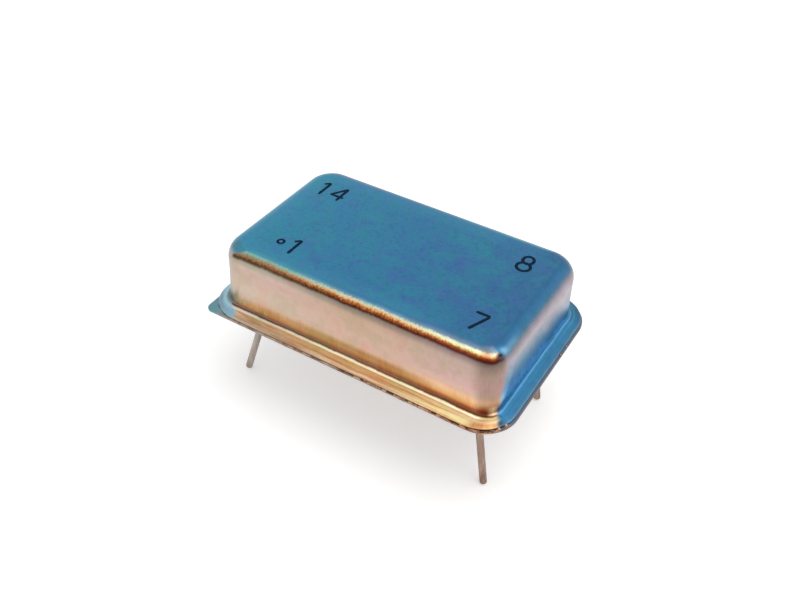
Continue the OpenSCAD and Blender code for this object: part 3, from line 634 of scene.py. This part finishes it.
def lid_readings(down, walked):
    """What the finish reads at each point, from the readings down the profile. Colours come
    later down the profile in the corners, and on the back and the far end the rim keeps its
    blue for longer."""
    far = 9.0
    front = np.arange(len(walked)) < len(walked) / 2
    keeps_blue = around(0.12, 0.12 + 0.43 * ARC, 0.55, 0.55 * (1 - ease(ARC, 0.0, 0.6)))
    late = np.where(front, around(last=0.12 * ARC), keeps_blue)
    lag = hill(ARC, 0.05, 0.5, 0.7, 0.85) * (1 - 0.6 * ease(ARC, 0.52, 0.64))
    lag = around(corner=lag, last=MOUND) * (0.17 - 0.11 * ease(down, 4.8, 6.0))
    tint = down - lag * ease(down, 1.75, 2.1) - late * (1 - ease(down, 2.6, 3.4))
    wall = hill(down, 2.7, 3.3, 5.7, 6.05)
    # A long side changes to an end inside the first corner, more slowly on the wall. The last
    # corner changes back: the rim's band starts there as a thin tip that widens, and across
    # the flange the change slants on to the side
    late_wall = around(last=0.4 * (1 - ease(ARC, 0.6, 0.9)))
    on_wall = ease(down - late_wall, 2.2, 2.7) * (1 - ease(down, 5.95, 6.2))
    off_rim = ease(down, 2.4, 2.7)
    # How far on the first corner's and the last corner's changes a point lies, or far off them
    to_end = around(-far, ARC, far, -far)
    to_edge_end = ease(to_end + 0.04 * (1 - off_rim) + 0.07 * ease(down, 6.6, 7.0), 0.52, 0.78)
    to_side = around(1 + 2.4 * np.linspace(0, 2, SIDE_STEPS), far, far, ARC)
    creep = ease(down, 4.6, 5.5)
    wall_end = ease(to_end, 0.52, 1.0) + 1 - ease(to_side, 0.45 + 0.24 * creep, 0.78 + 0.01 * creep)
    tip = 0.53 * np.clip(2.45 - down, 0, 1)
    slant = 0.09 * ease(down, 5.9, 6.1) + 0.24 * ease(down, 6.3, 6.7)
    edge_end = to_edge_end + 1 - ease(to_side - tip - slant, 0.62, 0.76)
    turn = wall_end * on_wall + edge_end * (1 - on_wall)
    # Spots in the first corner and beside it, on the front only: a painted pale blue highlight on
    # the rim, a dark speckled spot, and a painted peach highlight at the foot
    meeting = around(corner=ease(ARC, 0.66, 0.8) * (1 - 0.5 * ease(ARC, 0.82, 1.0)),
                     end=0.5 * (1 - ease(np.linspace(-1, 1, END_STEPS), -1, -0.5)))
    meeting = 0.8 * front * meeting * hill(down, 1.85, 2.15, 2.2, 2.45)
    scorch = front * around(corner=hill(ARC, 0.56, 0.62, 0.7, 0.78)) * hill(down, 2.08, 2.25, 2.5, 2.65)
    glint = 0.9 * front * around(corner=hill(ARC, 0.38, 0.6, 0.64, 0.76)) * hill(down, 5.5, 5.85, 6.1, 6.2)
    # Painted shade in the corners of the wall; on the rim and the flange it keeps to the first
    # part of the corner
    on_edge = 1 - off_rim + ease(down, 6.4, 6.6)
    drawn = around(corner=hill(ARC, 0.02, 0.34, 0.64, 0.84)) * (1 - 0.3 * hill(down, 3.0, 3.6, 5.4, 5.7))
    drawn = drawn * (1 - 0.5 * around(corner=ease(ARC, 0.4, 0.5)) * on_edge)
    crease = around(corner=hill(ARC, -0.05, 0.2, 0.64, 0.84) * (1 - 0.15 * ease(ARC, 0.3, 0.4)))
    drawn = drawn + (crease - drawn) * ease(down, 6.6, 6.75)
    drawn = (drawn + 0.4 * around(last=MOUND)) * ease(down, 1.6, 1.8)
    # Drawing marks lean over on the ends
    lean = around(0, ease(ARC, 0.6, 1.0), 1, 1 - ease(ARC, 0.0, 0.4)) * 0.6 * np.clip(down - 2.6, 0, 3.4)
    # Where a point lies along a long side, and along an end
    run = around(np.linspace(-1, 1, SIDE_STEPS), 1, 0, -1)
    slant = around(-1, -1, np.linspace(-1, 1, END_STEPS), 1)
    return {"across": down, "tint": tint, "end_tint": tint - 0.45 * slant * wall, "girth": walked - lean,
            "run": run, "turn": turn, "wall": wall, "rim": hill(down, 1.75, 1.95, 2.3, 2.5), "corner": drawn,
            "meeting": meeting, "scorch": scorch, "glint": glint, "inside": down == PROFILE}


def build_lid():
    """The drawn lid as one closed skin. At each station of its profile the points are the
    rounded outline there."""
    walked = girth(rounded(CAN_SIZE, CAN_CORNER))
    outlines, heights, down = zip(*lid_stations(walked))
    shape = (len(down), len(walked))
    fields = {name: np.broadcast_to(values, shape)
              for name, values in lid_readings(np.array(down)[:, None], walked).items()}
    points = np.concatenate([ring(*station) for station in zip(outlines, heights)])
    make_piece("drawn_lid", points, grid_faces(*shape), "lid_nickel", ["lid"], fields)


# ------------ header
HOLE_STEPS = 64
PIN_PLACES = {number: sum(corners("pin_solder_" + number))[:2] / 2 for number in HOLES}


def fill_plane(points, loops):
    """Triangles that fill a flat face between an outer loop of points and its round holes:
    a Delaunay triangulation that keeps to the loops, without the triangles inside a hole,
    which are those with all their points on that hole's loop."""
    indices, lengths = np.concatenate(loops), [len(loop) for loop in loops]
    numbers, firsts = np.repeat(np.arange(len(loops)), lengths), np.cumsum([0] + lengths)
    flat = [Vector(point[:2]) for point in points[indices]]
    edges = [(first + k, first + (k + 1) % len(loop)) for first, loop in zip(firsts, loops)
             for k in range(len(loop))]
    keeps_to_edges, least_gap = 1, 1e-6
    triangles = delaunay_2d_cdt(flat, edges, [], keeps_to_edges, least_gap)[2]
    return [indices[list(face)].tolist() for face in triangles
            if len(set(numbers[list(face)])) > 1 or numbers[face[0]] == 0]


def hole_rings(place, radius):
    """A stamped hole with eased edges: circles of its radius, wider by the easing at both
    faces, from the underside up to the platform's top."""
    eased, lead = 0.03, 0.05
    stack = [(eased * left, Z_SEAT + eased * down) for _, left, down in quarter(4)]
    stack = [(eased + lead, Z_SEAT), *stack]
    stack += [(extra, Z_SEAT + Z_PLATFORM - height) for extra, height in reversed(stack)]
    circle = spokes(full_turn(HOLE_STEPS))
    return [ring(place + (radius + extra) * circle, height) for extra, height in stack]


def header_stations():
    """Outline, height and share of weld colour at each station of the header's profile: from
    the platform's top over its edge, down to the flange, over the weld ridge, round the
    flange's edge and under."""
    walked = girth(rounded(HEADER_SIZE, HEADER_CORNERS))
    waves = ripple(walked, 11, (8, 60), 0.0035) + 0.007
    flange_ring = trimmed(HEADER_SIZE, HEADER_CORNERS, (0, 0), waves)
    platform_ring = partial(rounded, PLATFORM_SIZE, PLATFORM_CORNER, PLATFORM_MIDDLE)
    top_round, foot_high, foot_wide = 0.1, 0.05, 0.03
    yield platform_ring(0.3), Z_PLATFORM, 0.0
    for _, left, down in quarter(6):
        yield platform_ring(top_round * left), Z_PLATFORM - top_round * down, 0.0
    yield platform_ring(0.0), Z_HEADER + foot_high, 0.0
    yield platform_ring(-foot_wide), Z_HEADER, 0.0
    # The ridge that the weld leaves between the two flanges
    ridge_high = 0.028
    for inset, lift in ((0.5, 0), (0.46, ridge_high), (0.34, ridge_high), (0.3, 0)):
        yield flange_ring(inset), Z_HEADER + lift, 1.0
    edge_round, under_round = 0.07, 0.09
    for _, left, down in quarter(6):
        yield flange_ring(edge_round * left), Z_HEADER - edge_round * down, 1.0
    for a, left, down in quarter(7):
        yield flange_ring(under_round * down), Z_SEAT + under_round * left, 1.0 - a / math.pi
    for inset, weld in ((0.15, 0.2), (0.35, 0.0)):
        yield flange_ring(under_round + inset), Z_SEAT, weld


def build_header():
    """The stamped header as one closed skin: the rings of its profile, with the two flat
    faces filled between the outer ring and the holes."""
    outlines, heights, edges = zip(*header_stations())
    rows, count = len(outlines), len(outlines[0])
    points = np.concatenate([ring(*station) for station in zip(outlines, heights)])
    faces = grid_faces(rows, count)
    top_loops = [list(range(count))]
    under_loops = [list(range((rows - 1) * count, rows * count))]
    for number, radius in HOLES.items():
        hole = hole_rings(PIN_PLACES[number], radius)
        first = len(points)
        points = np.concatenate([points, *hole])
        faces += grid_faces(len(hole), HOLE_STEPS, first)
        under_loops.append(list(range(first, first + HOLE_STEPS)))
        top_loops.append(list(range(len(points) - HOLE_STEPS, len(points))))
    faces += fill_plane(points, top_loops) + fill_plane(points, under_loops)
    # Both readings are 0 in the holes
    turn = around(corner=ease(ARC, 0.4, 0.9), end=1, last=1 - ease(ARC, 0.5, 1.0))
    readings = np.zeros((2, len(points)))
    readings[:, :rows * count] = np.repeat(edges, count), np.tile(turn, rows)
    fields = dict(zip(("edge", "turn"), readings))
    make_piece("stamped_header", points, faces, "header_nickel", ["header"], fields)


# ------------ seals, braze and pins
GLASS_SINK, BRAZE_SINK = 0.07, 0.03


def build_seal(name, node, number, slot, sink):
    """Glass or braze in a header hole, turned round the pin: its height falls away from the
    pin as climb * exp(-distance / reach), lies sunk in the middle and rises at the hole."""
    climb, overlap, pin_reach, hole_reach = 0.12, 0.012, 0.09, 0.07
    radius = HOLES[number] + overlap
    out = np.linspace(PIN_RADIUS, radius, 20)
    rise = (climb + sink) * np.exp((PIN_RADIUS - out) / pin_reach) - sink
    rise += 0.8 * sink * np.exp((out - radius) / hole_reach)
    radii = np.concatenate([out, out[::-1], out[:1]])
    heights = np.concatenate([Z_SEAT - rise, (Z_PLATFORM + rise)[::-1], (Z_SEAT - rise)[:1]])
    circle = spokes(full_turn(56))
    spun = [ring(PIN_PLACES[number] + r * circle, height) for r, height in zip(radii, heights)]
    make_piece(name, np.concatenate(spun), grid_faces(len(spun), len(circle)), slot, [node])


# For each pin: how far its tip leans, and how far it drops straight before it bends
LEANS = {"1": ((-1.46, -0.62), 0.35), "7": ((1.18, -0.8), 1.5),
         "8": ((0.97, -0.26), 0.6), "14": ((-0.7, 0.12), 0.6)}


def build_pin(number):
    """A drawn wire pin swept along its own line: straight down through the header, round a
    soft bend, which is a circular arc, and down a straight leg to a tumbled tip, where the
    radius closes as a superellipse."""
    lean, drop = LEANS[number]
    reach = np.linalg.norm(lean)
    out = np.array(lean) / reach
    node_low, node_high = corners("pin_" + number)
    bend_z = Z_SEAT - drop
    fall = bend_z - node_low[2] - PIN_RADIUS
    angle = math.atan2(reach, fall)
    cut_back = 0.28
    bend_radius = cut_back / math.tan(angle / 2)
    bend_top = bend_z + cut_back
    turned = np.linspace(0, angle, 12)
    straight = np.column_stack([np.zeros(5), np.linspace(node_high[2], bend_top, 5, endpoint=False)])
    arc = np.column_stack([bend_radius * (1 - np.cos(turned)), bend_top - bend_radius * np.sin(turned)])
    way = np.array([math.sin(angle), -math.cos(angle)])
    # The flat of the tip leans, so the leg stops short enough for its rim to stay above zero
    clearance, tip_length, roundness = 0.02, 0.17, 2.6
    leg = math.hypot(reach, fall) + PIN_RADIUS - clearance
    rest = np.linalg.norm(np.array([0.0, bend_z]) + way * leg - arc[-1])
    shank = arc[-1] + way * np.linspace(0, rest - tip_length, 24)[1:, None]
    close = np.linspace(0, 1, 10)[1:]
    tip = shank[-1] + way * (close * tip_length)[:, None]
    line = np.concatenate([straight, arc, shank, tip])
    turns = np.concatenate([np.zeros(len(straight)), turned, np.full(len(shank) + len(tip), angle)])
    width = np.concatenate([np.ones(len(line) - len(tip)), (1 - close ** roundness) ** (1 / roundness)])
    # Sections lie square to the line: one axis stays level, the other turns with the bend
    about = full_turn(40)[:, None]
    level = np.array([-out[1], out[0], 0.0])
    tilted = np.column_stack([np.cos(turns)[:, None] * out, np.sin(turns)])
    section = np.cos(about) * level + np.sin(about) * tilted[:, None, :]
    middle = np.column_stack([PIN_PLACES[number] + line[:, :1] * out, line[:, 1]])
    points = middle[:, None, :] + PIN_RADIUS * width[:, None, None] * section
    points = np.concatenate([np.broadcast_to(middle[0], points[:1].shape), points])
    name = "pin_" + number
    faces = grid_faces(*points.shape[:2])
    warm = WARM_PIN if number in ("7", "8") else None
    make_piece(name + "_wire", points.reshape(-1, 3), faces, "pin_metal", [name], finish=warm)


# ------------ marking and weld splash
INK_LIFT, INK_SINK = 0.011, 0.004
# Waves of the worn edge of a line of ink: height, waves per millimetre and how they shift
INK_WAVES = ((0.05, 9.1 / math.tau, 5), (0.04, 23.0 / math.tau, 7))


def stroke(path, width):
    """A line of ink with a low rounded back. Across the line the height is one minus the
    fourth power of the distance from its middle; along it the width stays, apart from ends
    that close as half circles and a slight waver of a worn edge."""
    closed = np.allclose(path[0], path[-1])
    walked = girth(path)
    long = walked[-1]
    stations = max(10, int(long / 0.03))
    at, half = np.linspace(0, long, stations), np.full(stations, width / 2)
    if not closed:
        at = long * (0.5 - 0.5 * np.cos(np.linspace(0, math.pi, stations)))
        half *= np.sqrt(1 - np.clip(1 - np.minimum(at, long - at) / half, 0, 1) ** 2)
    line = np.column_stack([np.interp(at, walked, path[:, k]) for k in (0, 1)])
    way = np.gradient(line, axis=0)
    if closed:
        way[0] = way[-1] = line[1] - line[-2]
    way /= np.linalg.norm(way, axis=1)[:, None]
    aside = np.column_stack([-way[:, 1], way[:, 0]])
    waver = [high * np.sin(round(long * waves) * math.tau * at / long + start * shift)
             for (high, waves, shift), start in zip(INK_WAVES, path[0])]
    half *= 1 + sum(waver)
    over = np.linspace(-1, 1, 7)
    lift = np.concatenate([INK_LIFT * (1 - over ** 4), np.full(5, -INK_SINK)])
    over = np.concatenate([over, np.linspace(1, -1, 5)])
    flat = line[:, None, :] + over[None, :, None] * (half[:, None] * aside)[:, None, :]
    return np.concatenate([flat, np.broadcast_to(lift, flat.shape[:2])[..., None]], -1)


def oval(middle, reach):
    """A closed path whose first point is also its last."""
    return np.array(middle) + np.array(reach) * spokes(np.linspace(0, math.tau, 40))


# Plain pin numbers, each of two strokes, in a cell one unit high
NUMERALS = {
    "1": ([(0.10, 0.78), (0.33, 0.99)], [(0.34, 1.0), (0.34, 0.0)]),
    "4": ([(0.43, 0.99), (0.0, 0.3), (0.62, 0.3)], [(0.44, 1.0), (0.44, 0.0)]),
    "7": ([(0.0, 1.0), (0.59, 1.0)], [(0.58, 0.99), (0.18, 0.0)]),
    "8": (oval((0.3, 0.75), (0.22, 0.25)), oval((0.3, 0.27), (0.28, 0.27))),
}
NUMERAL_HIGH, NUMERAL_LINE, NUMERAL_PITCH = 1.5, 0.21, 1.2
# Where each pin's number stands, from the middle of the top, near its own corner
NUMERAL_PLACES = (("1", -5.35, -3.2), ("7", 7.0, -3.2), ("8", 7.0, 3.0), ("14", -6.9, 3.0))
PIN_1_RING, PIN_1_LINE = oval((-6.48, -3.21), (0.2, 0.2)), 0.17


def build_marking():
    """Printed pin numbers near their corners, and the ring that marks pin 1."""
    lines = [(PIN_1_RING, PIN_1_LINE)]
    for text, x, y in NUMERAL_PLACES:
        for k, numeral in enumerate(text):
            corner = (x + (k - len(text) / 2) * NUMERAL_PITCH, y - NUMERAL_HIGH / 2)
            lines += [(corner + np.array(path) * NUMERAL_HIGH, NUMERAL_LINE) for path in NUMERALS[numeral]]
    points, faces, count = [], [], 0
    for path, width in lines:
        made = stroke(path + CAN_MIDDLE, width)
        faces += grid_faces(*made.shape[:2], count)
        made = made.reshape(-1, 3)
        # The film follows the sunk top
        made[:, 2] += top_height(made[:, :2])
        points.append(made)
        count += len(made)
    make_piece("printed_marking", np.concatenate(points), faces, finish=INK)


def build_splash():
    """Beads of metal squeezed out of the weld: flattened balls whose radius swells and
    shrinks with a few sine waves over the ball, set in from the header's outline."""
    chosen = np.random.default_rng(21)
    outline, outward = rounded(HEADER_SIZE, HEADER_CORNERS), outward_of(HEADER_SIZE, HEADER_CORNERS)
    walked = girth(outline)
    # Each bead's place along the outline and its share of the size: those in front are larger
    front = [(11.36, 1.7), (17.6, 1.7), (19.9, 1.3), (20.4, 1.3)]
    round_about = [(at, 1.0) for at in chosen.uniform(24, walked[-1] - 3, 9)]
    bead_lift, flatness = 0.02, 0.8
    up, about = np.meshgrid(np.linspace(-math.pi / 2, math.pi / 2, 12), full_turn(18), indexing="ij")
    points, faces = [], []
    for at, grow in front + round_about:
        size = grow * chosen.uniform(0.05, 0.085)
        swell = size * (1 + 0.2 * np.sin(3 * about + at) * np.cos(up) + 0.15 * np.sin(2 * up + 3 * at))
        edge, away = (np.array([np.interp(at, walked, rows[:, k]) for k in (0, 1)])
                      for rows in (outline, outward))
        middle = edge - away * swell.max()
        faces += grid_faces(*up.shape, len(points) * up.size)
        level = swell * np.cos(up)
        ball = np.stack([middle[0] + level * np.cos(about), middle[1] + level * np.sin(about),
                         Z_HEADER + bead_lift + flatness * swell * np.sin(up)], -1)
        points.append(ball.reshape(-1, 3))
    make_piece("weld_splash", np.concatenate(points), faces, "header_nickel", finish=SPLASH)


build_lid()
build_header()
for number in ("1", "8", "14"):
    build_seal("glass_bead_" + number, "glass_seal_" + number, number, "seal_glass", GLASS_SINK)
build_seal("braze_fillet", "ground_braze", "7", "braze", BRAZE_SINK)
for number in HOLES:
    build_pin(number)
build_marking()
build_splash()

# CAD nodes whose shape is right keep their mesh and take the finish of their slot
for part in frame["record"]["subparts"]:
    node = frame["nodes"][part["node"]]
    if not node.hide_render:
        node.data.materials.clear()
        node.data.materials.append(FINISHES[part["material_slot"]])


# ------------ floor, light and camera
def white_rays(add):
    """1 for the rays that meet a plain white background, 0 for the others."""
    path = add("LightPath")
    share = 0.0
    for kind in ("Is Camera Ray", "Is Glossy Ray", "Is Transmission Ray"):
        share = add("Math", [share, path.outputs[kind]], operation="MAXIMUM")
    return share


def build_floor():
    """A plain pale sheet under the pins."""
    half, shine = 0.6, 0.36
    mesh = bpy.data.meshes.new("studio_floor")
    square = [(-half, -half, 0), (half, -half, 0), (half, half, 0), (-half, half, 0)]
    mesh.from_pydata(square, [], [(0, 1, 2, 3)])
    made, add = start_finish("pale_floor")
    glow = add("Math", [white_rays(add), shine], **TIMES)
    mesh.materials.append(end_finish(made, Roughness=1.0, Specular_IOR_Level=0.0, Base_Color="f4f4f4",
                                     Emission_Color="ffffff", Emission_Strength=glow))
    floor = bpy.data.objects.new("studio_floor", mesh)
    scene.collection.objects.link(floor)


def build_world():
    """Even white light, held down for the rays that light a matt surface."""
    world, add = start_finish("studio", bpy.data.worlds)
    strength = add("Math", [white_rays(add), 0.35, 0.65], **TIMES_PLUS)
    add("OutputWorld", {"Surface": add("Background", {"Color": "ffffff", "Strength": strength})})
    world.cycles.sampling_method = "NONE"
    scene.world = world


def place_facing(holder, target, turns, offset):
    """Puts a lamp or camera at an offset from its target, in its own axes once it has been
    turned about the axes that are named. Lengths are in millimetres, turns in degrees."""
    place = Matrix.Translation(np.array(target) * MM)
    for axis, degrees in turns:
        place = place @ Matrix.Rotation(math.radians(degrees), 4, axis)
    holder.matrix_world = place @ Matrix.Translation(np.array(offset) * MM)
    scene.collection.objects.link(holder)


def build_lamp():
    """A round soft lamp above the part, leaning a little to the right and the back."""
    lamp = bpy.data.lights.new("overhead_softbox", "AREA")
    lamp.shape, lamp.size, lamp.energy = "DISK", 0.45, 0.70
    holder = bpy.data.objects.new("overhead_softbox", lamp)
    place_facing(holder, (0, 0, 7), (("Y", 13.897), ("X", -3.436)), (0, 0, 450))


def build_camera():
    """Camera at a product view from the front right, a little above, rolled slightly."""
    azimuth, elevation, roll = 29.906, 40.065, 2.263
    distance, sidestep = 56.115, 0.0858
    data = bpy.data.cameras.new("camera")
    data.lens, data.sensor_width = 40.333, 36.0
    data.clip_start, data.clip_end = 0.001, 5.0
    scene.camera = bpy.data.objects.new("camera", data)
    turns = (("Z", azimuth), ("X", 90 - elevation), ("Z", roll))
    place_facing(scene.camera, (-0.265, 0.130, 6.8185), turns, (sidestep, 0, distance))


build_floor()
build_world()
build_lamp()
build_camera()
scene.view_settings.view_transform = "Standard"
